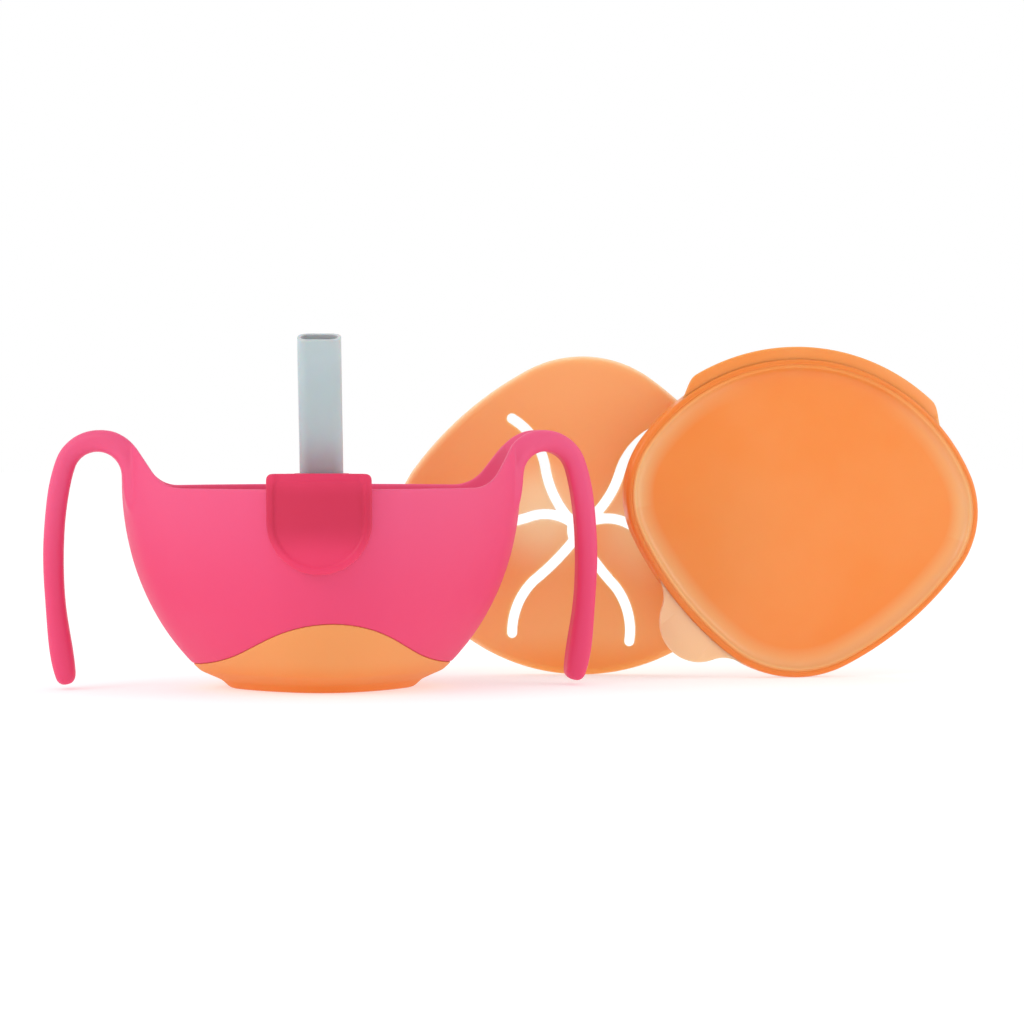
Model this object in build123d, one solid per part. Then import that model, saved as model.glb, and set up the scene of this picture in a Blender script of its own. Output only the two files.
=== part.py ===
# A toddler's bowl with two handles, a straw held in a clip on the front of the rim,
# a soft snack insert with a star of slits, and a lid.
# The bowl stands at the origin with its two handles along X and its straw in front, towards -Y.
# The insert and the lid stand on edge beside it, facing the front.
# Everything is in millimetres, with +Z up and the surface it stands on at Z = 0.
from build123d import *
from math import asin, atan2, cos, degrees, hypot, radians, sin, sqrt
import os

# The mouth's outline, seen from above: two rounded corners that carry the handles,
# a pointed front between two long flanks, and a blunter back. Sizes are outside, at the fullest height.
half_length = 71.8
front_reach = 68.5
back_reach = 57.3
corner_radius = 38.0
flank_radius = 131.0
front_radius = 46.5

# The bowl's wall swells to its full size at one height, as an ellipse does.
wall = 2.8
rim_height = 72.4
full_over_rim = 1.8
swell_under = 11.5         # how far under the surface the ellipse would close
floor_height = 6.0
floor_fillet = 8.0

# A narrow ledge inside the rim seats the insert and the lid.
seat_drop = 5.0            # how far it lies below the rim
lip_wall = 2.3             # the wall above the ledge
ledge_wide = 1.4

# The rim sweeps up at each corner into the handle's root.
sweep_start = 51.0         # from the middle to where the rim starts to rise
sweep_radius = 12.0        # of the hollow there
arch_centre = 80.0         # from the middle to the axis that the handle arches over
arch_top = 93.0
arch_radius = 16.7         # to the top of the arch
arch_inside = 8.3          # to its underside

# The handle is a strap, wide at its root, that narrows to the grip and hangs from the arch.
root_wide = 32.0
root_edge = 2.0            # rounding of the strap's upper edges at the root
root_proud = 1.6           # spare height at the root, which the rim's sweep trims off
root_fade = 18.0           # how far down the wall the root runs out
root_sink = 4.5            # how deep it has sunk into the wall there
grip_thick = 7.3
grip_wide = 14.5
grip_reach = 96.05         # from the middle to the grip's centre line, where it is widest
grip_widest = 48.9         # height of that point
grip_bow = 232.0           # radius of the bow below that point
grip_end = 1.7             # the tip's height over the surface

# A channel runs from the inside of the bowl up over the handle's root, between two ridges.
channel_centre = (83.4, 77.8)
channel_floor = 14.2       # radius of its floor about that centre
channel_round = 14.0       # its hollow, across
channel_end = 75.0         # degrees about that centre, where it runs out at the top

# The soft non-slip base, moulded on to the bowl.
base_skin = 1.4
base_floor = 2.4           # the height at which the bowl's own floor starts
seam_top = 25.8            # the base's wavy edge: its height at the front and back
seam_radius = 44.0
seam_slope = 32.0          # degrees, on each side of the crown
seam_run = 8.0             # straight stretch from the crown to the hollow
seam_hollow = 40.0
step_height = 6.3          # where the wall turns in under the bowl
foot_height = 3.0
foot_half = 36.3
foot_sole = 33.0
sole_fillet = 1.2
sole_ring = 5.0            # width of the ring that it stands on
sole_recess = 0.8

# The straw, a flat tube, leans out over the rim in a clip that hooks on the wall.
straw_wide = 15.0
straw_deep = 8.8
straw_wall = 1.3
straw_round = 3.6
straw_lean = 17.0          # degrees from upright
straw_inset = 19.5         # from the outside of the wall to the straw's axis, at the rim
straw_top = 124.5
straw_foot = 4.4           # gap over the floor
straw_ease = 0.15          # all round, in the clip
clip_turn = 6.5            # degrees round the front's arc, to the left
clip_wide = 36.0
clip_lean = 6.0            # degrees from upright: the way it pulls off
clip_ease = 0.35           # to the wall, inside
clip_stand = 0.75          # to the wall, outside
clip_seat = 0.3            # to the rim, above
clip_rise = 5.4            # its top over the rim
clip_tab = 34.6            # height of the tab, with its top
clip_thick = 3.2
clip_corner = 2.0          # of the tab's top corners
clip_border = 2.4          # round the thumb hollow
clip_hollow = 1.0          # depth of the thumb hollow
clip_leg = 13.0            # how far the inner leg reaches down the wall
clip_leg_thick = 2.4
clip_leg_wide = 24.0
clip_sleeve = 2.2          # wall of the straw's sleeve
clip_sleeve_long = 17.0

# The snack insert, a soft cap with a star of six slits.
insert_ease = 0.35
insert_deep = 5.0
insert_skin = 1.8
insert_round = 3.0
insert_place = (100.2, 51.0)
insert_face = -7.5         # degrees that it is turned to the viewer
insert_roll = 4.0          # degrees that it has rolled on its edge
slit_wide = 3.7
heart = (4.2, 6.8, -0.6)   # the open heart where the slits meet: half width, half height and place
# Each slit is a double bend from the heart to its end: to the front, the sides and the back.
slits = (
    ((3.0, -3.5), (9.2, -11.0), (14.2, -23.4), (18.5, -32.5), (28.0, -40.5)),
    ((3.0, -3.0), (9.5, -5.2), (19.7, -3.4), (33.0, 0.5), (46.0, 2.5)),
    ((1.5, 4.0), (6.0, 10.0), (15.5, 20.2), (20.3, 28.0), (22.2, 40.5)),
)

# The lid, a shallow plug with a raised bead round a sunk panel.
lid_ease = 1.0
lid_deep = 7.5
lid_skin = 1.4
lid_bead = 3.4
lid_recess = 2.6
lid_round = 1.3
lid_slope = 2.2            # rounding from the bead down into the panel
lid_flange = 4.6           # how far the flange at the back stands out
lid_flange_half = 52.0     # half its length
lid_flange_round = 3.0     # of its shoulders, out and in
lid_tab_radius = 15.5
lid_tab_back = 2.0         # from the lid's edge in to the tab's centre
lid_tab_turn = 50.5        # degrees round the flank's arc
lid_tab_blend = 12.0       # of its edge into the lid's
lid_plate = 1.2            # thickness of the flange and the tab
lid_plate_height = 4.4
lid_place = (181.3, 30.6)
lid_face = 4.5
lid_roll = 6.0


def swell(height, inset=0.0):
    """How full the bowl is at a height, from 0 to 1, for a surface that lies inset from the outside."""
    full = rim_height + full_over_rim
    return sqrt(1 - ((full - height) / (full + swell_under - inset)) ** 2)


# The arcs' centres. Each flank's arc is tangent to its corner's and to the front's.
corner_middle = half_length - corner_radius
front_middle = front_radius - front_reach
back_radius = (corner_middle**2 + back_reach**2 - corner_radius**2) / (2 * (back_reach - corner_radius))
back_turn = degrees(atan2(back_radius - back_reach, corner_middle))
across = hypot(corner_middle, front_middle)
along = ((flank_radius - corner_radius) ** 2 - (flank_radius - front_radius) ** 2 + across**2) / (2 * across)
aside = sqrt((flank_radius - corner_radius) ** 2 - along**2)
flank_middle = (
    corner_middle - (along * corner_middle - aside * front_middle) / across,
    (along * front_middle + aside * corner_middle) / across,
)
flank_start = degrees(atan2(flank_middle[1], corner_middle - flank_middle[0]))
flank_end = degrees(atan2(flank_middle[1] - front_middle, -flank_middle[0]))


def outline(scale=1.0, inset=0.0, height=0.0):
    """The mouth's outline as a wire: inset first, then scaled about the middle."""
    x, y = flank_middle
    flank = flank_end - flank_start
    arcs = (
        (corner_middle, 0, corner_radius, -flank_start, flank_start + back_turn),
        (0, back_reach - back_radius, back_radius, back_turn, 180 - 2 * back_turn),
        (-corner_middle, 0, corner_radius, 180 - back_turn, back_turn + flank_start),
        (-x, y, flank_radius, 180 + flank_start, flank),
        (0, front_middle, front_radius, 180 + flank_end, 180 - 2 * flank_end),
        (x, y, flank_radius, -flank_end, flank),
    )
    edges = []
    for x, y, radius, start, turn in arcs:
        edges.append(CenterArc((x * scale, y * scale), (radius - inset) * scale, start, turn))
    return Pos(0, 0, height) * Wire(edges)


def slab(inset, low, high):
    """A plate with the mouth's outline."""
    return extrude(Face(outline(1, inset, low)), high - low, dir=(0, 0, 1))


def heights(low, high, count):
    return [low + (high - low) * i / (count - 1) for i in range(count)]


def vessel(inset, low, high, count):
    """The bowl's swelling form between two heights, inset from the outside."""
    return Solid.make_loft([outline(swell(z, inset), inset, z) for z in heights(low, high, count)])


def foot(inset):
    """What lies under the step: the turn under the wall, and the foot."""
    sizes = ((foot_sole, 0), (foot_half, foot_height), (half_length * swell(step_height), step_height))
    rings = [outline((half - inset) / half_length, 0, z) for half, z in sizes]
    return Solid.make_loft(rings[:2], True) + Solid.make_loft(rings[1:], True)


def mirrored(shape):
    """The same on both sides of the bowl."""
    return shape + mirror(shape, about=Plane.YZ)


def symmetric_face(edges, low):
    """A face in the XZ plane: edges that start on the Z axis, their mirror image, and a line below."""
    flip = [mirror(edge, about=Plane.YZ) for edge in edges]
    ends = [(edges[-1] @ 1).X, (edges[-1] @ 1).Y]
    sides = [Line((x, ends[1]), (x, low)) for x in (ends[0], -ends[0])]
    return Plane.XZ * make_face(edges + flip + sides + [Line((ends[0], low), (-ends[0], low))])


def through(face):
    """A profile carried right through the bowl along Y."""
    return extrude(face, amount=2 * half_length, both=True)


# The arch and the two bows of the grip, each tangent to the next.
arch_height = arch_top - arch_radius
arch_middle = (arch_radius + arch_inside) / 2
bow_rise = arch_height - grip_widest
bow_reach = grip_reach - arch_centre
upper_bow = (bow_rise**2 + bow_reach**2 - arch_middle**2) / (2 * (bow_reach - arch_middle))
bow_turn = degrees(asin(bow_rise / (upper_bow - arch_middle)))
tip_turn = degrees(asin((grip_widest - grip_end) / grip_bow))


def strap(centre, radius, angle, wide, thick, outer_round, inner_round):
    """A section of the handle: a rounded bar across the path, whose radius turns about a centre."""
    along = radians(angle)
    half = wide / 2
    corners = (
        (half, thick / 2, outer_round, 0),
        (-half, thick / 2, outer_round, 90),
        (-half, -thick / 2, inner_round, 180),
        (half, -thick / 2, inner_round, 270),
    )
    arcs = []
    for x, y, bend, start in corners:
        middle = (x - bend if x > 0 else x + bend, y - bend if y > 0 else y + bend)
        arcs.append(CenterArc(middle, bend, start, 90))
    lines = [Line(arcs[i] @ 1, arcs[(i + 1) % 4] @ 0) for i in range(4)]
    edges = [edge for pair in zip(arcs, lines) for edge in pair]
    place = Plane(
        origin=(centre[0] + radius * cos(along), 0, centre[1] + radius * sin(along)),
        x_dir=(0, 1, 0),
        z_dir=(sin(along), 0, -cos(along)),
    )
    return place.location * Wire(edges)


def handle():
    """The right handle, from inside the bowl's wall over the arch and down to the tip."""
    centre = (arch_centre, arch_height)
    full_thick = arch_radius - arch_inside
    sections = []
    for share in (1.0, 2 / 3, 1 / 3):
        radius = arch_middle + root_proud / 2 + root_sink * share**2
        foot = (arch_centre, arch_height - root_fade * share)
        thick = full_thick + root_proud
        sections.append(strap(foot, radius, 180, root_wide, thick, root_edge, 0.47 * grip_thick))
    count = 12
    for i in range(count):
        share = i / (count - 1)
        angle = 180 + (bow_turn - 180) * share
        ease = share * share * (3 - 2 * share)
        wide = root_wide + (grip_wide - root_wide) * ease
        thick = full_thick + (grip_thick - full_thick) * ease
        proud = root_proud * (angle - 97) / 83 if angle > 90 else 0
        edge = root_edge + (0.47 * grip_thick - root_edge) * ease
        sections.append(
            strap(centre, arch_middle + proud / 2, angle, wide, thick + proud, edge, 0.47 * grip_thick)
        )
    grip_round = 0.47 * grip_thick
    grip = (grip_wide, grip_thick, grip_round, grip_round)
    for share in (0.5, 0.0):
        centre = (grip_reach - upper_bow, grip_widest)
        sections.append(strap(centre, upper_bow, bow_turn * share, *grip))
    centre = (grip_reach - grip_bow, grip_widest)
    round_turn = degrees(grip_thick / 2 / grip_bow)
    sections.append(strap(centre, grip_bow, (round_turn - tip_turn) / 2, *grip))
    for share in (0.0, 0.45, 0.75, 0.93):
        shrink = grip_thick * (1 - sqrt(1 - share**2))
        angle = round_turn * (1 - share) - tip_turn
        thick = grip_thick - shrink
        sections.append(
            strap(centre, grip_bow, angle, grip_wide - shrink, thick, 0.47 * thick, 0.47 * thick)
        )
    return Solid.make_loft(sections)


def above_rim():
    """What is trimmed off: all that lies over the rim and its sweep up to the arch, on the right."""
    reach = arch_centre - sweep_start
    rise = arch_height - rim_height - sweep_radius
    turn = degrees(asin((sweep_radius + arch_radius) / hypot(reach, rise)) - atan2(-rise, reach))
    level = Line((-1, rim_height), (sweep_start, rim_height))
    hollow = CenterArc((sweep_start, rim_height + sweep_radius), sweep_radius, -90, turn)
    crown = CenterArc((arch_centre, arch_height), arch_radius, 90 + turn, -turn)
    roof = arch_top + 2 * wall
    rest = Polyline(crown @ 1, (arch_centre, roof), (-1, roof), (-1, rim_height))
    face = make_face([level, hollow, Line(hollow @ 1, crown @ 0), crown] + list(rest.edges()))
    return through(Plane.XZ * face)


def channel():
    """The hollow over the right handle's root, turned about an axis across the handle."""
    x, z = channel_centre
    ring = Plane((x + channel_floor + channel_round, 0, z), x_dir=(1, 0, 0), z_dir=(0, 0, 1))
    swing = Axis((x, 0, z), (0, -1, 0))
    circle = (ring * Circle(channel_round)).rotate(swing, channel_end)
    return revolve(circle, swing, 190 - channel_end)


def cavity():
    """The inside of the bowl: under the ledge, and the lip over it."""
    seat = rim_height - seat_drop
    sections = []
    for z in heights(floor_height, seat, 9):
        near = max(0, 1 - (seat - z) / (3 * seat_drop))
        inset = wall + (lip_wall + ledge_wide - wall) * near**2
        sections.append(outline(swell(z, inset), inset, z))
    under = Solid.make_loft(sections)
    under = fillet(under.faces().sort_by(Axis.Z)[0].edges(), floor_fillet)
    return under + vessel(lip_wall, seat, arch_top + wall, 5)


def base_zone():
    """The region under the base's wavy edge, seen from the front."""
    crown = CenterArc((0, seam_top - seam_radius), seam_radius, 90, -seam_slope)
    slope = radians(seam_slope)
    start = crown @ 1
    end = (start.X + seam_run * cos(slope), start.Y - seam_run * sin(slope))
    middle = (end[0] + seam_hollow * sin(slope), end[1] + seam_hollow * cos(slope))
    hollow = CenterArc(middle, seam_hollow, 270 - seam_slope, seam_slope)
    level = Line(hollow @ 1, (half_length, (hollow @ 1).Y))
    return through(symmetric_face([crown, Line(start, end), hollow, level], -wall))


def bowl_and_base():
    body = vessel(0, step_height, arch_top + wall, 14) + foot(0)
    zone = base_zone()
    skin = body & zone
    core = vessel(base_skin, step_height, seam_top + wall, 6)
    core += foot(base_skin) - Pos(0, 0, base_floor / 2) * Box(200, 200, base_floor)
    base = skin - core
    sole = base.edges().filter_by_position(Axis.Z, -0.01, 0.01)
    base = fillet(sole, sole_fillet)
    base -= extrude(Face(outline((foot_sole - sole_ring) / half_length)), sole_recess, dir=(0, 0, 1))
    bowl = (body - zone) + (core & zone)
    bowl += mirrored(handle())
    bowl -= cavity()
    bowl -= mirrored(channel())
    bowl -= mirrored(above_rim())
    return bowl, base


# The clip is made at the front of the bowl and then turned round the front's arc.
arc_middle = (0, front_middle)
clip_top = rim_height + clip_rise
pull = (0, -sin(radians(clip_lean)), cos(radians(clip_lean)))


def curved_bar(inner, outer, half, low, high):
    """A stretch of wall that follows the front's arc and leans along the way the clip pulls off."""
    arcs = []
    for radius in (outer, inner):
        turn = degrees(asin(half / radius))
        arcs.append(CenterArc(arc_middle, radius, 270 - turn, 2 * turn))
    sides = [Line(arcs[0] @ end, arcs[1] @ end) for end in (0, 1)]
    face = Pos(0, 0, rim_height) * make_face(arcs + sides)
    lean = cos(radians(clip_lean))
    shift = (low - rim_height) / lean
    start = Pos(0, pull[1] * shift, pull[2] * shift) * face
    return extrude(start, (high - low) / lean, dir=pull)


def tab_face(border):
    """The tab's outline from the front, drawn in by a border."""
    half = clip_wide / 2 - border
    turn = clip_top - clip_tab + clip_wide / 2
    top = clip_top - border
    edge = clip_corner
    bottom = CenterArc((0, turn), half, 180, 180)
    corners = [CenterArc((half - edge, top - edge), edge, 0, 90)]
    corners.append(CenterArc((edge - half, top - edge), edge, 90, 90))
    lines = [
        Line(bottom @ 1, corners[0] @ 0),
        Line(corners[0] @ 1, corners[1] @ 0),
        Line(corners[1] @ 1, bottom @ 0),
    ]
    return Plane.XZ * make_face([bottom] + corners + lines)


def along_straw(face, low, high):
    """A section carried along the straw's axis, between two distances from the rim's level."""
    lean = radians(straw_lean)
    axis = (0, -sin(lean), cos(lean))
    middle = straw_inset - front_reach
    start = Plane(
        origin=(0, middle + axis[1] * low, rim_height + axis[2] * low), x_dir=(1, 0, 0), z_dir=axis
    )
    return extrude(start * face, high - low)


def clip():
    inside = front_radius - lip_wall - ledge_wide - clip_ease
    outside = front_radius + clip_stand
    face = outside + clip_thick
    half = clip_wide / 2
    tab = curved_bar(outside, face, half, clip_top - clip_tab, clip_top) & through(tab_face(0))
    hollow = curved_bar(face - clip_hollow, face + wall, half, clip_top - clip_tab, clip_top)
    tab -= hollow & through(tab_face(clip_border))
    leg_half = clip_leg_wide / 2
    body = tab + curved_bar(inside - clip_leg_thick, face - wall, leg_half, rim_height + clip_seat, clip_top)
    body += curved_bar(outside - wall, face - clip_hollow, half - clip_corner, rim_height + clip_seat, clip_top)
    body += curved_bar(inside - clip_leg_thick, inside, leg_half, rim_height - clip_leg, clip_top)
    sleeve_face = RectangleRounded(
        straw_wide + 2 * straw_ease + 2 * clip_sleeve,
        straw_deep + 2 * straw_ease + 2 * clip_sleeve,
        straw_round + straw_ease + clip_sleeve,
    )
    over = clip_rise / cos(radians(straw_lean)) + wall
    sleeve = along_straw(sleeve_face, -clip_sleeve_long, over)
    sleeve -= Pos(0, -front_reach, clip_top + over) * Box(clip_wide, 2 * front_reach, 2 * over)
    # A shelf and two ribs carry the sleeve on the leg.
    near = arc_middle[1] - inside + clip_leg_thick / 2
    far = straw_inset - front_reach
    shelf = Pos(0, (near + far) / 2, clip_top - clip_leg_thick / 2)
    body += shelf * Box(straw_wide, far - near, clip_leg_thick)
    for side in (-1, 1):
        rib = Pos(side * straw_wide / 3, (near + far) / 2, clip_top - clip_leg / 2)
        body += rib * Box(clip_sleeve, far - near, clip_leg)
    bore_face = RectangleRounded(
        straw_wide + 2 * straw_ease, straw_deep + 2 * straw_ease, straw_round + straw_ease
    )
    return body + sleeve - along_straw(bore_face, -2 * clip_sleeve_long, 2 * over)


def straw():
    lean = radians(straw_lean)
    outer = RectangleRounded(straw_wide, straw_deep, straw_round)
    bore = RectangleRounded(
        straw_wide - 2 * straw_wall, straw_deep - 2 * straw_wall, straw_round - straw_wall
    )
    low = (floor_height + straw_foot + straw_deep / 2 * sin(lean) - rim_height) / cos(lean)
    high = (straw_top - rim_height) / cos(lean)
    return along_straw(outer - bore, low, high)


def snack_insert():
    inset = lip_wall + insert_ease
    cap = slab(inset, 0, insert_deep)
    cap = fillet(cap.faces().sort_by(Axis.Z)[-1].edges(), insert_round)
    hollow = slab(inset + insert_skin, 0, insert_deep - insert_skin)
    hollow = fillet(hollow.faces().sort_by(Axis.Z)[-1].edges(), insert_round - insert_skin)
    star = Pos(0, heart[2]) * Ellipse(heart[0], heart[1])
    for bends in slits:
        for side in (-1, 1):
            points = [(side * x, y) for x, y in bends]
            star += SlotArc(ThreePointArc(*points[:3]), slit_wide)
            star += SlotArc(ThreePointArc(*points[2:]), slit_wide)
    return cap - hollow - extrude(star, 2 * insert_deep)


def lid():
    inset = lip_wall + lid_ease
    panel = lid_deep - lid_recess
    body = slab(inset, 0, lid_deep)
    body = fillet(body.faces().sort_by(Axis.Z)[-1].edges(), lid_round)
    sunk = slab(inset + lid_bead, panel, lid_deep + lid_recess)
    sunk = fillet(sunk.faces().sort_by(Axis.Z)[0].edges(), lid_slope)
    under = slab(inset + lid_skin, 0, panel - lid_skin)
    bead = slab(inset + lid_skin, 0, lid_deep - lid_skin)
    bead -= slab(inset + lid_bead - lid_skin / 2, 0, lid_deep)
    return body + lid_plate_at(inset) - sunk - under - bead


def lid_plate_at(inset):
    """The plate that stands out from the lid: a flange along the back and a pull tab on one flank."""
    edge = slab(inset, 0, lid_plate)
    plate = slab(inset - lid_flange, 0, lid_plate)
    plate &= Pos(0, back_reach, 0) * Box(2 * lid_flange_half, 2 * back_reach, 4 * lid_deep)
    plate += edge
    ends = [one for one in plate.edges().filter_by(Axis.Z) if abs(abs(one.center().X) - lid_flange_half) < 0.1]
    plate = fillet(ends, lid_flange_round)
    turn = radians(180 + lid_tab_turn)
    reach = flank_radius - inset - lid_tab_back
    x = reach * cos(turn) - flank_middle[0]
    y = reach * sin(turn) + flank_middle[1]
    plate += Pos(x, y, lid_plate / 2) * Cylinder(lid_tab_radius, lid_plate)
    ends = [one for one in plate.edges().filter_by(Axis.Z) if near_circle(one, (x, y), lid_tab_radius)]
    plate = fillet(ends, lid_tab_blend)
    return Pos(0, 0, lid_plate_height) * plate - slab(inset + lid_skin / 2, 0, 2 * lid_deep)


def near_circle(edge, middle, radius):
    """Whether an upright edge stands on a circle."""
    return abs(hypot(edge.center().X - middle[0], edge.center().Y - middle[1]) - radius) < 0.05


def stand(shape, place, face):
    """Set a piece on the surface at a place, turned to face the viewer."""
    turned = Rot(0, 0, face) * shape
    return Pos(place[0], place[1], -turned.bounding_box().min.Z) * turned


bowl_body, base_body = bowl_and_base()
clip_place = Pos(*arc_middle, 0) * Rot(0, 0, -clip_turn) * Pos(-arc_middle[0], -arc_middle[1], 0)
nodes = {
    "bowl": bowl_body,
    "non_slip_base": base_body,
    "straw_clip": clip_place * clip(),
    "straw": clip_place * straw(),
    "snack_insert": stand(
        Rot(0, insert_roll, 0) * Rot(0, 180, 0) * Rot(90, 0, 0) * snack_insert(), insert_place, insert_face
    ),
    "lid": stand(Rot(0, lid_roll, 0) * Rot(90, 0, 0) * lid(), lid_place, lid_face),
}
os.makedirs("parts", exist_ok=True)
for name, shape in nodes.items():
    export_step(shape, f"parts/{name}.step")
    print(name, len(shape.solids()), round(shape.volume), shape.is_valid)
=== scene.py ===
# A toddler's bowl with a straw, its snack insert and its lid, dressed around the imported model.
import math

import bpy
from mathutils import Matrix, Vector


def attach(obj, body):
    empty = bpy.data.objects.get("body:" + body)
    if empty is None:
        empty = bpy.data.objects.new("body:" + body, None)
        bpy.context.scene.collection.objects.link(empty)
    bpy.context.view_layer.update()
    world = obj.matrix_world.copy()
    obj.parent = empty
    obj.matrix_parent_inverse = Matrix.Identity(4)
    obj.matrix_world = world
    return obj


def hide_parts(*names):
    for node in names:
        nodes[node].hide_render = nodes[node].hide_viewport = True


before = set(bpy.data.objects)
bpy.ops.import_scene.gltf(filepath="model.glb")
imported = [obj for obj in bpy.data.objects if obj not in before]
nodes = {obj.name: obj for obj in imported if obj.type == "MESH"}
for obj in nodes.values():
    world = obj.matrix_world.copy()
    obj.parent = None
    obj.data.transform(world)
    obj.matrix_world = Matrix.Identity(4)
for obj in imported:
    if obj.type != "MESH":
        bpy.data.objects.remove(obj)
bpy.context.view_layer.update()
mm = 0.001    # shapes are drawn in millimetres, shaders and the studio in metres


def rgb(*screen):
    # photographed screen values to the linear values that shaders want
    linear = (v / 255 / 12.92 if v < 11 else ((v / 255 + 0.055) / 1.055) ** 2.4 for v in screen)
    return (*linear, 1.0)


def held(value):
    # no less than 0 and no more than 1
    return min(1.0, max(0.0, value))


class Wire:
    # wraps a shader socket, so that maths on it reads as plain maths
    def __init__(self, paint, socket):
        self.paint = paint
        self.socket = socket

    def math(self, operation, *others):
        return self.paint.add("ShaderNodeMath", {"operation": operation}, dict(enumerate((self, *others))))

    def __add__(self, other):
        return self.math("ADD", other)

    __radd__ = __add__

    def __mul__(self, other):
        return self.math("MULTIPLY", other)

    __rmul__ = __mul__

    def __sub__(self, other):
        return self.math("SUBTRACT", other)

    def __rsub__(self, other):
        return self.paint.add("ShaderNodeMath", {"operation": "SUBTRACT"}, {0: other, 1: self})

    def between(self, low, high):
        # 0 below low, 1 above high, smooth in between
        ease = {"interpolation_type": "SMOOTHSTEP"}
        return self.paint.add("ShaderNodeMapRange", ease, {0: self, 1: low, 2: high, 3: 0.0, 4: 1.0})


class Paint:
    # one material or world and its nodes
    def __init__(self, name, kind="materials", shader="Principled BSDF"):
        self.data = getattr(bpy.data, kind).new(name)
        self.data.use_nodes = True
        self.tree = self.data.node_tree
        self.shader = self.tree.nodes[shader]

    def add(self, kind, settings=None, inputs=None, output=0):
        node = self.tree.nodes.new(kind)
        for key, value in (settings or {}).items():
            setattr(node, key, value)
        for key, value in (inputs or {}).items():
            if isinstance(value, Wire):
                self.tree.links.new(value.socket, node.inputs[key])
            else:
                node.inputs[key].default_value = value
        return Wire(self, node.outputs[output])

    def fixed(self, **values):
        for key, value in values.items():
            self.shader.inputs[key.replace("_", " ")].default_value = value

    def varying(self, **wires):
        for key, wire in wires.items():
            self.tree.links.new(wire.socket, self.shader.inputs[key.replace("_", " ")])

    def place(self):
        return self.add("ShaderNodeTexCoord", output="Object")

    def along(self, axis):
        # one coordinate of the place in the object, in metres
        return self.add("ShaderNodeSeparateXYZ", inputs={0: self.place()}, output="XYZ".index(axis))

    def noise(self, scale, detail, rough=0.5):
        values = {"Vector": self.place(), "Scale": scale, "Detail": detail, "Roughness": rough}
        return self.add("ShaderNodeTexNoise", inputs=values)

    def drift(self, look):
        # a slow unevenness, which keeps fades from running dead level
        return self.noise(*look["cloud"]) * look["drift"]

    def mix(self, mask, first, second):
        return self.add("ShaderNodeMix", {"data_type": "RGBA"}, {0: mask, 6: first, 7: second}, output=2)

    def mark(self, name):
        # a value stored on the mesh
        return self.add("ShaderNodeAttribute", {"attribute_name": name}, output=2)

    def far(self, middle):
        # distance from a point, in metres
        distance = {"operation": "DISTANCE"}
        return self.add("ShaderNodeVectorMath", distance, {0: self.place(), 1: middle}, output=1)

    def facing(self, way):
        # 1 where the surface faces a way, 0 where it lies across it, -1 where it faces back
        normal = self.add("ShaderNodeTexCoord", output="Normal")
        return self.add("ShaderNodeVectorMath", {"operation": "DOT_PRODUCT"}, {0: normal, 1: way}, output=1)

    def bump(self, height, strength, distance):
        values = {"Height": height, "Strength": strength, "Distance": distance}
        return self.add("ShaderNodeBump", inputs=values)

    def finish(self, look, tone):
        # the colour, a shine that is rubbed unevenly and a fine grain
        rub = self.noise(look["rub"], 4.0, 0.6)
        self.varying(
            Base_Color=tone,
            Roughness=rub * look["spread"] + (look["roughness"] - look["spread"] / 2),
            Normal=self.bump(self.noise(*look["grain"]), *look["bump"]),
        )


def shown(look, key):
    # a photographed colour, less what the studio's light adds to it
    return (*(v * g for v, g in zip(look[key][:3], look["gain"])), 1.0)


def added(name, data):
    thing = bpy.data.objects.new(name, data)
    bpy.context.scene.collection.objects.link(thing)
    return thing


def dress(piece, paint, body, node):
    # finish and body of a piece, and the node that it stands for
    piece.data.materials.clear()
    piece.data.materials.append(paint.data)
    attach(piece, body)
    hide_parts(node)


def baked(piece):
    # the mesh with the piece's modifiers worked in
    mesh = bpy.data.meshes.new_from_object(piece.evaluated_get(bpy.context.evaluated_depsgraph_get()))
    piece.modifiers.clear()
    piece.data = mesh
    return mesh


def eased(piece, steps, group=""):
    ease = piece.modifiers.new("ease", "SMOOTH")
    ease.iterations = steps
    ease.factor = 0.5
    ease.vertex_group = group


def smoothShaded(mesh, name):
    for face in mesh.polygons:
        face.use_smooth = True
    print(name, len(mesh.polygons), "faces")


def softened(node, name, size, steps, keep, place, more):
    # the node's own solid, remeshed fine and smoothed, so that its edges are rounded as moulded ones are
    piece = added(name, nodes[node].data.copy())
    weld = piece.modifiers.new("weld", "WELD")
    weld.merge_threshold = 0.01 * mm
    grid = piece.modifiers.new("grid", "REMESH")
    grid.mode = "VOXEL"
    grid.voxel_size = size * mm
    eased(piece, steps)
    mesh = baked(piece)
    if place:
        # more rounding in one place, fading in over a few millimetres
        group = piece.vertex_groups.new(name="place")
        for vertex in mesh.vertices:
            share = held(place(vertex.co / mm))
            if share > 0:
                group.add([vertex.index], share, "REPLACE")
        eased(piece, more, "place")
    thin = piece.modifiers.new("thin", "DECIMATE")
    thin.ratio = keep
    smoothShaded(baked(piece), name)
    return piece


bowlLook = {
    "pink": rgb(239, 75, 118),
    "paleToneAndSheen": rgb(240, 90, 132),
    "gain": (0.93, 0.88, 0.95),
    "fade": (0.035, 0.085),      # heights from the pink to the painted sheen, paler up towards the rim
    "cloud": (14.0, 2.0),
    "drift": 0.012,
    "roughness": 0.5,
    "spread": 0.1,
    "rub": 160.0,
    "grain": (9000.0, 2.0, 0.7),
    "bump": (0.12, 0.00004),
    "rootInner": 60.0,           # how far out from the middle the handle's root begins and ends
    "rootOuter": 77.0,
    "rootLow": 48.0,
    "rootHigh": 73.0,            # at its inner end, rising outwards
    "rootRise": 0.95,
    "rootFades": (4.0, 3.0, 5.0, 4.0),
}


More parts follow.
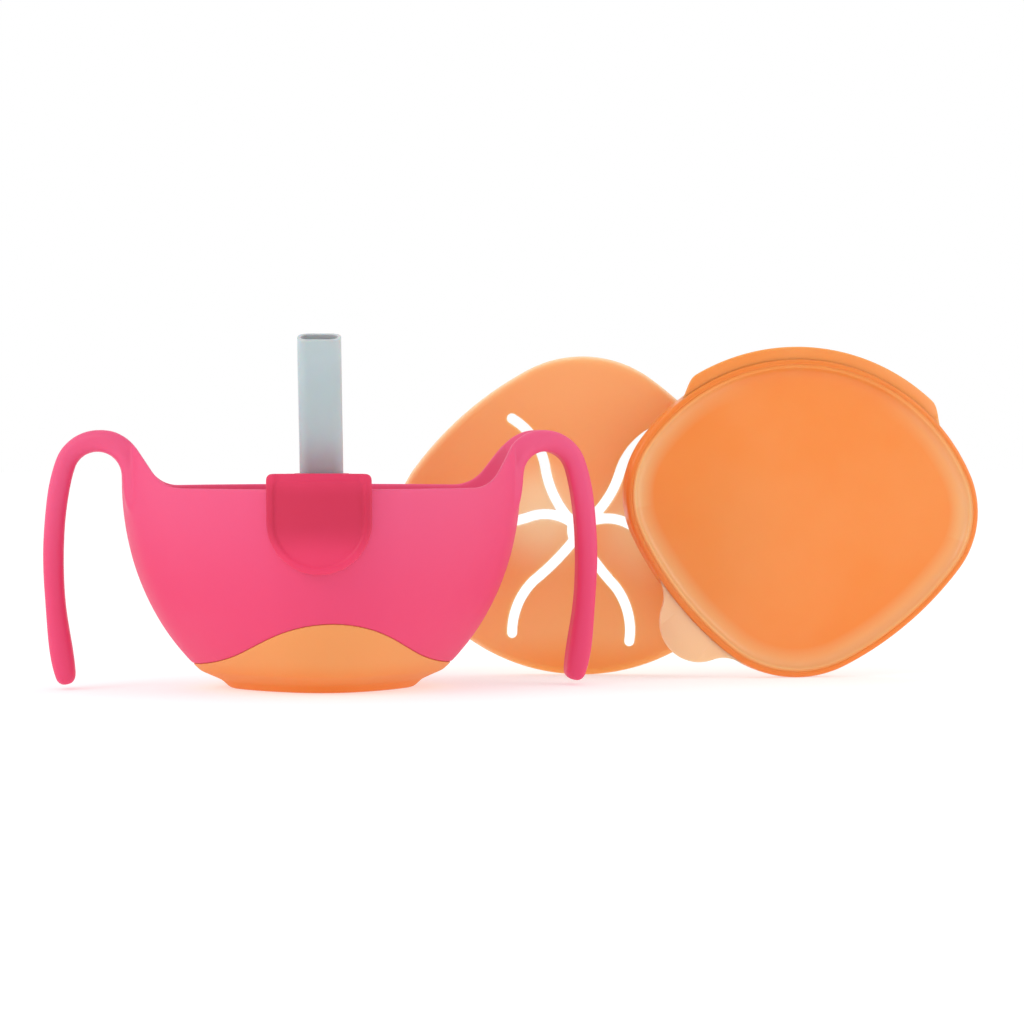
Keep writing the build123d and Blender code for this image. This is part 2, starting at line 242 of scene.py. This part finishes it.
def rootPlace(spot):
    # where the handle's root runs out into the wall, well under the rim
    look = bowlLook
    side = abs(spot.x) - look["rootInner"]
    outer = look["rootOuter"] - abs(spot.x)
    high = look["rootHigh"] + look["rootRise"] * side - spot.z
    reaches = (side, outer, spot.z - look["rootLow"], high)
    return min(reach / fade for reach, fade in zip(reaches, look["rootFades"]))


def bowlPlastic():
    paint = Paint("bowlPlastic")
    height = paint.along("Z") + paint.drift(bowlLook)
    # painted sheen: the pink turns paler towards the rim, where light from above falls
    paleToneAndSheen = height.between(*bowlLook["fade"])
    paint.finish(bowlLook, paint.mix(paleToneAndSheen, shown(bowlLook, "pink"), shown(bowlLook, "paleToneAndSheen")))
    paint.fixed(Subsurface_Weight=0.12, Subsurface_Scale=0.004, Specular_IOR_Level=0.3)
    return paint


baseLook = {
    "orange": rgb(246, 163, 104),
    "low": rgb(249, 138, 58),
    "gain": (0.93, 0.93, 0.76),
    "fade": (0.002, 0.014),      # heights from the painted shade at the foot to the orange
    "cloud": (36.0, 3.0),
    "drift": 0.003,
    "roughness": 0.55,
    "spread": 0.12,
    "rub": 240.0,
    "grain": (5000.0, 3.0, 0.6),
    "bump": (0.25, 0.00006),
    "footHigh": 9.0,             # the foot and the slope over it, which are rounded further
    "footFade": 2.5,
}


def footPlace(spot):
    return (baseLook["footHigh"] - spot.z) / baseLook["footFade"]


def baseRubber():
    paint = Paint("baseRubber")
    height = paint.along("Z") + paint.drift(baseLook)
    # painted shade: a deeper orange towards the floor
    upper = height.between(*baseLook["fade"])
    paint.finish(baseLook, paint.mix(upper, shown(baseLook, "low"), shown(baseLook, "orange")))
    paint.fixed(Subsurface_Weight=0.15, Subsurface_Scale=0.003, Specular_IOR_Level=0.3)
    return paint


# The clip's tab follows the front of the rim. Its thumb hollow is open at the top.
clipLook = {
    "pink": rgb(236, 62, 104),
    "deep": rgb(210, 46, 82),
    "gain": (0.95, 0.88, 0.95),
    "paintedShadeFade": (0.049, 0.064),  # heights from the pink to the painted shade
    "topFade": (0.071, 0.08),    # and the painted shade eases back towards the pink by a share
    "topShare": 0.6,
    "cloud": (60.0, 2.0),
    "drift": 0.004,
    "roughness": 0.48,
    "spread": 0.1,
    "rub": 300.0,
    "grain": (8000.0, 2.0, 0.7),
    "bump": (0.12, 0.00004),
    "middle": (0.0, -22.0),      # of the front's arc, seen from above
    "radius": 50.45,             # of the tab's face at the rim's height
    "rim": 72.4,
    "lean": 6.0,
    "turn": 6.5,
    "top": 77.8,
    "half": 18.0,
    "border": 2.4,
    "hollow": 1.0,               # its depth
    "skin": 1.2,                 # how far behind the hollow the push has faded out
    "under": 1.2,                # how far under the border it begins
    "upFade": 1.4,
    "sideFade": 1.6,
}


def openHollow(mesh):
    # carries the thumb hollow up through the tab's top edge
    look = clipLook
    turn = math.radians(look["turn"])
    slope = math.tan(math.radians(look["lean"]))
    middle = Vector((*look["middle"], 0.0))
    for vertex in mesh.vertices:
        spot = Matrix.Rotation(turn, 3, "Z") @ (vertex.co / mm - middle)
        spot.y += slope * (spot.z - look["rim"])
        deep = look["radius"] - math.hypot(spot.x, spot.y)
        high = held((spot.z - look["top"] + look["border"] + look["under"]) / look["upFade"])
        side = held((look["half"] - look["border"] - abs(spot.x)) / look["sideFade"])
        near = held((look["hollow"] + look["skin"] - deep) / look["skin"]) if spot.y < 0 else 0.0
        push = high * side * near * max(0.0, look["hollow"] - deep)
        out = Vector((spot.x, spot.y, 0)).normalized()
        vertex.co -= Matrix.Rotation(-turn, 3, "Z") @ out * push * mm
    mesh.update()


def clipPlastic():
    paint = Paint("clipPlastic")
    height = paint.along("Z") + paint.drift(clipLook)
    # painted shade: the pink turns deeper through the middle heights, where the thumb hollow is shaded, and
    # partly back at the top
    back = height.between(*clipLook["topFade"]) * clipLook["topShare"]
    deep = height.between(*clipLook["paintedShadeFade"]) * (1 - back)
    paint.finish(clipLook, paint.mix(deep, shown(clipLook, "pink"), shown(clipLook, "deep")))
    paint.fixed(Subsurface_Weight=0.1, Subsurface_Scale=0.003, Specular_IOR_Level=0.3)
    return paint


strawLook = {
    "grey": rgb(184, 199, 203),
    "shade": rgb(178, 192, 195),
    "gain": (1.0, 1.02, 1.02),
    "fade": (0.3, 0.7),          # values of the cloud from the grey to the shade
    "cloud": (40.0, 3.0),
    "roughness": 0.34,
    "spread": 0.1,
    "rub": 400.0,
    "grain": (3000.0, 3.0, 0.5),
    "bump": (0.1, 0.00005),
}


def strawSilicone():
    paint = Paint("strawSilicone")
    shade = paint.noise(*strawLook["cloud"]).between(*strawLook["fade"])
    paint.finish(strawLook, paint.mix(shade, shown(strawLook, "grey"), shown(strawLook, "shade")))
    paint.fixed(Subsurface_Weight=0.4, Subsurface_Scale=0.004, IOR=1.42)
    return paint


# The insert has painted light on its thin tongues and its lower half, a painted sheen along its rolled
# edge, and a deeper tint where it stands.
insertLook = {
    "orange": rgb(240, 177, 119),
    "paleToneAndSheen": rgb(246, 206, 168),
    "thin": rgb(251, 222, 190),
    "edge": rgb(249, 172, 92),
    "low": rgb(246, 191, 133),
    "gain": (1.0, 1.0, 1.0),
    "front": (-0.1305, -0.9914, 0.0),
    "tongues": ((0.085, 0.048, 0.061), (0.126, 0.045, 0.057)),
    "tongueLightFade": (0.006, 0.03),   # distances from a tongue's middle
    "tongueLightShare": 0.9,
    "edgeSheenFade": (0.5, 0.97),     # how far the surface faces the front or the back
    "edgeSheenShare": 0.75,
    "lowLightFade": (0.015, 0.075),   # heights from the painted light low down to the orange
    "footFade": (0.004, 0.02),   # and from the edge's tint
    "cloud": (30.0, 3.0),
    "drift": 0.006,
    "roughness": 0.45,
    "spread": 0.1,
    "rub": 200.0,
    "grain": (3500.0, 3.0, 0.5),
    "bump": (0.1, 0.00005),
}


def insertSilicone():
    look = insertLook
    paint = Paint("insertSilicone")
    orange, paleToneAndSheen, thin, edge, low = (shown(look, key) for key in ("orange", "paleToneAndSheen", "thin", "edge", "low"))
    cloud = paint.drift(look)
    left, right = (paint.far(middle) + cloud for middle in look["tongues"])
    # painted light on the thin tongues, which lifts the shade that the bowl casts on them
    tongueLight = 1 - left.math("MINIMUM", right).between(*look["tongueLightFade"])
    height = paint.along("Z") + cloud
    # painted sheen along the rolled edge, where the surface turns away from the front and the back
    edgeSheen = 1 - paint.facing(look["front"]).math("ABSOLUTE").between(*look["edgeSheenFade"])
    # painted light over the lower half, in place of the light that the bowl's shade takes away
    tone = paint.mix(height.between(*look["lowLightFade"]), low, orange)
    tone = paint.mix(tongueLight * look["tongueLightShare"], tone, thin)
    tone = paint.mix(edgeSheen * look["edgeSheenShare"], tone, paleToneAndSheen)
    tone = paint.mix(1 - height.between(*look["footFade"]), tone, edge)
    paint.finish(look, tone)
    paint.fixed(Subsurface_Weight=1.0, Subsurface_Scale=0.004, Specular_IOR_Level=0.3)
    paint.fixed(Subsurface_Radius=(1.0, 0.9, 0.8))
    return paint


# Each row has the node, the piece's name, finish, body and slot, the grid in millimetres, the steps
# of smoothing, the share of faces kept, and a place that is smoothed further, with its own steps.
rows = (
    ("bowl", "bowlShell", bowlPlastic, "bowl", "bowl_plastic", 0.4, 20, 0.17, rootPlace, 110),
    ("non_slip_base", "softBase", baseRubber, "bowl", "base_rubber", 0.4, 3, 0.35, footPlace, 40),
    ("straw_clip", "strawClip", clipPlastic, "clip", "clip_plastic", 0.3, 40, 0.4, None, 0),
    ("straw", "flatStraw", strawSilicone, "straw", "straw_silicone", 0.3, 4, 0.3, None, 0),
    ("snack_insert", "slitInsert", insertSilicone, "insert", "insert_silicone", 0.4, 6, 0.3, None, 0),
)
for node, name, finish, body, slot, size, steps, keep, place, more in rows:
    piece = softened(node, name, size, steps, keep, place, more)
    if node == "straw_clip":
        openHollow(piece.data)
    dress(piece, finish(), body, node)
print("bowl, base, clip, straw and insert made")


# The lid's outline is the bowl's at its fullest, six tangent arcs in millimetres and degrees. The lid's
# own edge lies inside it, and the rings' insets are counted from that edge.
lidLook = {
    "orange": rgb(246, 147, 76),
    "paleToneAndSheen": rgb(248, 202, 174),
    "rim": rgb(249, 134, 60),
    "tabTint": rgb(250, 199, 158),
    "gain": (0.92, 0.91, 0.62),
    "fade": (0.3, 0.75),         # values of the cloud from the orange towards the pale
    "cloudShare": 0.12,
    "rimShare": 0.7,
    "slopeHighlightShare": 0.8,
    "flangeShare": 0.05,         # of the tab's tint
    "cloud": (20.0, 3.0),
    "roughness": 0.3,
    "spread": 0.1,
    "rub": 200.0,
    "grain": (2500.0, 3.0, 0.5),
    "bump": (0.08, 0.00005),
    "half": 71.8,
    "front": 68.5,
    "back": 57.3,
    "corner": 38.0,
    "flank": 131.0,
    "nose": 46.5,
    "edge": 3.3,
    "hub": (0.0, -6.0),          # where the faces meet, above and on the underside
    "hubShares": (0.75, 0.5, 0.25),
    "plate": (4.4, 5.6),         # heights of the flange and the tab
    "plateSoft": 0.4,
    "overlap": 1.0,              # of the flange and the tab with the lid
    "flange": 4.6,
    "flangeHalf": 52.0,
    "flangeEase": 8.5,
    "flangeTuck": 0.5,
    "tab": 15.5,
    "tabBack": 2.0,
    "tabTurn": 50.5,
    "tabBlend": 12.0,
    "roll": 6.0,
    "face": 4.5,
    "place": (181.3, 30.6),
    "sharp": 50.0,
    "slopeInset": (2.2, 11.0),   # where the slope inside the bead begins and ends
    "slopeFades": (1.2, 5.5),
    "slopeHigh": 3.6,
    "slopeSide": 0.35,           # how far sideways its painted highlight begins
    "slopeFront": -0.25,         # in front of this it has one strength of painted highlight
    "slopeFrontShare": 0.75,
    "rimInset": 1.9,
    "rimHigh": 3.3,
    # inset and height of each ring, from the panel over the bead to the underside
    "rings": (
        (11.0, 4.88), (8.5, 4.9), (6.8, 4.93), (5.9, 5.02), (5.1, 5.28), (4.5, 5.7), (4.0, 6.25),
        (3.65, 6.85), (3.4, 7.25), (3.15, 7.45), (2.9, 7.5), (2.35, 7.5), (2.2, 7.44), (2.08, 7.28),
        (1.96, 7.44), (1.8, 7.5), (1.35, 7.48), (0.85, 7.36), (0.45, 7.08), (0.18, 6.7), (0.03, 6.2),
        (0.0, 5.7), (0.0, 3.4), (0.0, 0.5), (0.15, 0.15), (0.5, 0.0), (0.95, 0.0), (1.3, 0.15),
        (1.4, 0.5), (1.4, 5.7), (1.6, 6.1), (2.5, 6.1), (2.7, 5.8), (2.7, 3.8), (2.95, 3.5), (8.0, 3.5),
    ),
}
leftFlank = 3    # which of the lid's arcs has the tab, counted from 0 at the right corner


def lidArcs():
    # each arc's centre, radius, start and turn, tangent to the next one
    look = lidLook
    corner, back, nose, flank = look["corner"], look["back"], look["nose"], look["flank"]
    reach = look["half"] - corner
    low = nose - look["front"]
    backRadius = (reach**2 + back**2 - corner**2) / (2 * (back - corner))
    backTurn = math.degrees(math.atan2(backRadius - back, reach))
    across = math.hypot(reach, low)
    along = ((flank - corner) ** 2 - (flank - nose) ** 2 + across**2) / (2 * across)
    aside = math.sqrt((flank - corner) ** 2 - along**2)
    x = reach - (along * reach - aside * low) / across
    y = (along * low + aside * reach) / across
    start = math.degrees(math.atan2(y, reach - x))
    end = math.degrees(math.atan2(y - low, -x))
    return (
        (reach, 0, corner, -start, start + backTurn),
        (0, back - backRadius, backRadius, backTurn, 180 - 2 * backTurn),
        (-reach, 0, corner, 180 - backTurn, backTurn + start),
        (-x, y, flank, 180 + start, end - start),
        (0, low, nose, 180 + end, 180 - 2 * end),
        (x, y, flank, -end, end - start),
    )


def lidPath(step=1.1):
    # points round the full outline, each with the way out
    path = []
    for x, y, radius, start, turn in lidArcs():
        count = math.ceil(math.radians(turn) * radius / step)
        for i in range(count):
            angle = math.radians(start + turn * i / count)
            out = Vector((math.cos(angle), math.sin(angle)))
            path.append((Vector((x, y)) + radius * out, out))
    return path


def slopeHighlight(inset, height, out):
    # the painted highlight on the slope inside the bead: most at the two sides, least at the back
    look = lidLook
    outer, inner = look["slopeInset"]
    outerFade, innerFade = look["slopeFades"]
    if height < look["slopeHigh"] or inset < outer:
        return 0.0
    near = min(1.0, (inset - outer) / outerFade, max(0.0, (inner - inset) / innerFade))
    side = max(0.0, abs(out.x) - look["slopeSide"]) / (1 - look["slopeSide"])
    return near * (side if out.y > look["slopeFront"] else look["slopeFrontShare"])


def rimTint(inset, height):
    return 1.0 if height > lidLook["rimHigh"] and inset < lidLook["rimInset"] else 0.0


def addRings(points, faces, path, rings, hub):
    # closed rings joined in order, with smaller rings and a fan to the hub at each end
    size = len(path)
    first = len(points)
    for inset, height in rings:
        points += [(*(spot - (lidLook["edge"] + inset) * out), height) for spot, out in path]
    for row in range(len(rings) - 1):
        for i in range(size):
            a = first + row * size
            faces.append((a + i, a + (i + 1) % size, a + size + (i + 1) % size, a + size + i))
    for row, flip in ((0, False), (len(rings) - 1, True)):
        ring = first + row * size
        inner = ring
        for share in lidLook["hubShares"]:
            start = len(points)
            for i in range(size):
                x, y, z = points[ring + i]
                points.append((hub[0] + (x - hub[0]) * share, hub[1] + (y - hub[1]) * share, z))
            for i in range(size):
                face = (start + i, start + (i + 1) % size, inner + (i + 1) % size, inner + i)
                faces.append(face[::-1] if flip else face)
            inner = start
        points.append((*hub, points[ring][2]))
        for i in range(size):
            face = (inner + i, len(points) - 1, inner + (i + 1) % size)
            faces.append(face if flip else face[::-1])


def addPlate(points, faces, inner, outer):
    # a thin plate between two paths, rounded along the outer one
    low, high = lidLook["plate"]
    soft = lidLook["plateSoft"]
    start = len(points)
    for near, far in zip(inner, outer):
        way = (near - far).normalized() if (near - far).length > soft else Vector((0, 0))
        back = far + soft * way
        points += [(*near, low), (*back, low), (*far, low + soft)]
        points += [(*far, high - soft), (*back, high), (*near, high)]
    for i in range(len(inner) - 1):
        for j in range(5):
            a = start + 6 * i + j
            faces.append((a, a + 6, a + 7, a + 1))


def flangePaths(path):
    # along the back, from the lid's edge outwards, easing out to its full width at both ends
    inner, outer = [], []
    look = lidLook
    for spot, out in path:
        edge = spot - look["edge"] * out
        share = min(1.0, (look["flangeHalf"] - abs(edge.x)) / look["flangeEase"])
        if edge.y > 0 and share > 0:
            ease = share * share * (3 - 2 * share)
            inner.append(edge - look["overlap"] * out)
            outer.append(edge + (look["flange"] * ease - look["flangeTuck"] * (1 - ease)) * out)
    return inner, outer


def tabPaths(hollowSteps=12, lobeSteps=36):
    # from the lid's edge round a hollow, the lobe and the other hollow, back to the edge
    look = lidLook
    x, y, radius = lidArcs()[leftFlank][:3]
    flank = Vector((x, y))
    edge = radius - look["edge"]
    turn = math.radians(180 + look["tabTurn"])
    way = Vector((math.cos(turn), math.sin(turn)))
    lobe = flank + (edge - look["tabBack"]) * way
    # the hollows' centres, where circles about the flank and the lobe cross
    far, near, apart = edge + look["tabBlend"], look["tab"] + look["tabBlend"], edge - look["tabBack"]
    along = (far**2 - near**2 + apart**2) / (2 * apart)
    aside = math.sqrt(far**2 - along**2)
    side = Vector((-way.y, way.x))
    outer = []
    for sign in (-1, 1):
        hollow = flank + along * way + sign * aside * side
        start, end = (flank - hollow).normalized(), (lobe - hollow).normalized()
        sweep = start.angle_signed(end)
        arc = []
        for i in range(hollowSteps + 1):
            arc.append(hollow + look["tabBlend"] * (Matrix.Rotation(-sweep * i / hollowSteps, 2) @ start))
        if sign < 0:
            outer += arc
            begin = (hollow - lobe).normalized()
        else:
            finish = (hollow - lobe).normalized()
            sweep = begin.angle_signed(finish)
            for i in range(1, lobeSteps):
                outer.append(lobe + look["tab"] * (Matrix.Rotation(-sweep * i / lobeSteps, 2) @ begin))
            outer += arc[::-1]
    inner = [flank + (edge - look["overlap"]) * (spot - flank).normalized() for spot in outer]
    return inner, outer


def makeLid():
    look = lidLook
    points, faces = [], []
    path = lidPath()
    addRings(points, faces, path, look["rings"], look["hub"])
    body = len(points)
    addPlate(points, faces, *flangePaths(path))
    flange = len(points)
    addPlate(points, faces, *tabPaths())
    mesh = bpy.data.meshes.new("trayLid")
    mesh.from_pydata([Vector(point) * mm for point in points], [], faces)
    # the painted highlight on the bead's inner slope, and the rim's and the tab's tints, stored on the mesh
    slopeHighlights = [slopeHighlight(*ring, out) for ring in look["rings"] for _, out in path]
    rims = [rimTint(*ring) for ring in look["rings"] for _ in path]
    thins = [0.0] * body + [look["flangeShare"]] * (flange - body)
    tintsAndHighlight = {
        "thin": thins + [1.0] * (len(points) - flange),
        "slope": slopeHighlights + [0.0] * (len(points) - len(slopeHighlights)),
        "rim": rims + [0.0] * (len(points) - len(rims)),
    }
    for name, values in tintsAndHighlight.items():
        mesh.attributes.new(name, "FLOAT", "POINT").data.foreach_set("value", values)
    face = Matrix.Rotation(math.radians(look["face"]), 4, "Z")
    roll = Matrix.Rotation(math.radians(look["roll"]), 4, "Y")
    mesh.transform(face @ roll @ Matrix.Rotation(math.radians(90), 4, "X"))
    low = min(vertex.co.z for vertex in mesh.vertices)
    mesh.transform(Matrix.Translation((look["place"][0] * mm, look["place"][1] * mm, -low)))
    mesh.update()
    smoothShaded(mesh, "trayLid")
    mesh.set_sharp_from_angle(angle=math.radians(look["sharp"]))
    return added("trayLid", mesh)


def lidPlastic():
    look = lidLook
    paint = Paint("lidPlastic")
    orange, paleToneAndSheen, rim = (shown(look, key) for key in ("orange", "paleToneAndSheen", "rim"))
    cloud = paint.noise(*look["cloud"]).between(*look["fade"])
    tone = paint.mix(cloud * look["cloudShare"], orange, paleToneAndSheen)
    tone = paint.mix(paint.mark("rim") * look["rimShare"], tone, rim)
    # a painted highlight on the slope inside the bead
    tone = paint.mix(paint.mark("slope") * look["slopeHighlightShare"], tone, paleToneAndSheen)
    tone = paint.mix(paint.mark("thin"), tone, look["tabTint"])
    paint.finish(look, tone)
    paint.fixed(Subsurface_Weight=0.6, Subsurface_Scale=0.004, Specular_IOR_Level=0.4)
    paint.fixed(Subsurface_Radius=(1.0, 0.8, 0.6))
    return paint


dress(makeLid(), lidPlastic(), "lid", "lid")
print("lid made")

# Where the photograph was taken from, worked out from the handles, the rim and the straw. The focal
# length and the frame are in pixels.
cameraLook = {
    "place": (-0.0727, -1.2020, 0.0929),
    "turn": 6.72,
    "tilt": 1.42,
    "focal": 3335.0,
    "frame": 1024.0,
    "nearest": 0.01,
}


def makeCamera():
    data = bpy.data.cameras.new("photoCamera")
    camera = added("photoCamera", data)
    data.sensor_fit = "HORIZONTAL"
    data.angle = 2 * math.atan(cameraLook["frame"] / 2 / cameraLook["focal"])
    data.clip_start = cameraLook["nearest"]
    camera.location = cameraLook["place"]
    camera.rotation_euler = (math.radians(90 - cameraLook["tilt"]), 0, -math.radians(cameraLook["turn"]))
    bpy.context.scene.camera = camera


makeCamera()

# Light comes from all round, least from the viewer's side, so that round forms turn darker inwards.
studioLook = {
    "floor": (0.6, 0.6, 0.6, 1.0),
    "reach": 6.0,
    "white": (1.0, 1.0, 1.0, 1.0),
    "glow": 0.5,
    "sky": 1.0,
    "front": 0.5,
    "turn": (0.15, 0.95),
    # name, place, aim, width and power of each lamp
    "lamps": (
        ("keyLight", (-1.2, -0.8, 0.9), (0.05, 0, 0.05), 0.8, 7.0),
        ("fillLight", (1.4, -0.6, 0.5), (0.1, 0, 0.05), 0.9, 4.0),
    ),
}


def makeFloor():
    mesh = bpy.data.meshes.new("studioFloor")
    reach = studioLook["reach"]
    corners = [(-reach, -reach, 0), (reach, -reach, 0), (reach, reach, 0), (-reach, reach, 0)]
    mesh.from_pydata(corners, [], [(0, 1, 2, 3)])
    floor = added("studioFloor", mesh)
    paint = Paint("studioFloor")
    paint.fixed(Base_Color=studioLook["floor"], Roughness=0.9, Specular_IOR_Level=0.0)
    paint.fixed(Emission_Color=studioLook["white"], Emission_Strength=studioLook["glow"])
    mesh.materials.append(paint.data)


def makeSky():
    paint = Paint("studioSky", "worlds", "Background")
    way = paint.add("ShaderNodeTexCoord", output="Generated")
    back = paint.add("ShaderNodeSeparateXYZ", inputs={0: way}, output="Y")
    dim = (back * -1.0).between(*studioLook["turn"]) * (studioLook["sky"] - studioLook["front"])
    paint.varying(Strength=studioLook["sky"] - dim)
    paint.fixed(Color=studioLook["white"])
    bpy.context.scene.world = paint.data


def makeLight(name, place, aim, width, power):
    data = bpy.data.lights.new(name, "AREA")
    data.shape = "RECTANGLE"
    data.size = data.size_y = width
    data.energy = power
    light = added(name, data)
    light.location = place
    light.rotation_euler = (Vector(aim) - Vector(place)).to_track_quat("-Z", "Y").to_euler()


makeFloor()
makeSky()
for lamp in studioLook["lamps"]:
    makeLight(*lamp)
bpy.context.scene.view_settings.view_transform = "Standard"
print("studio made")
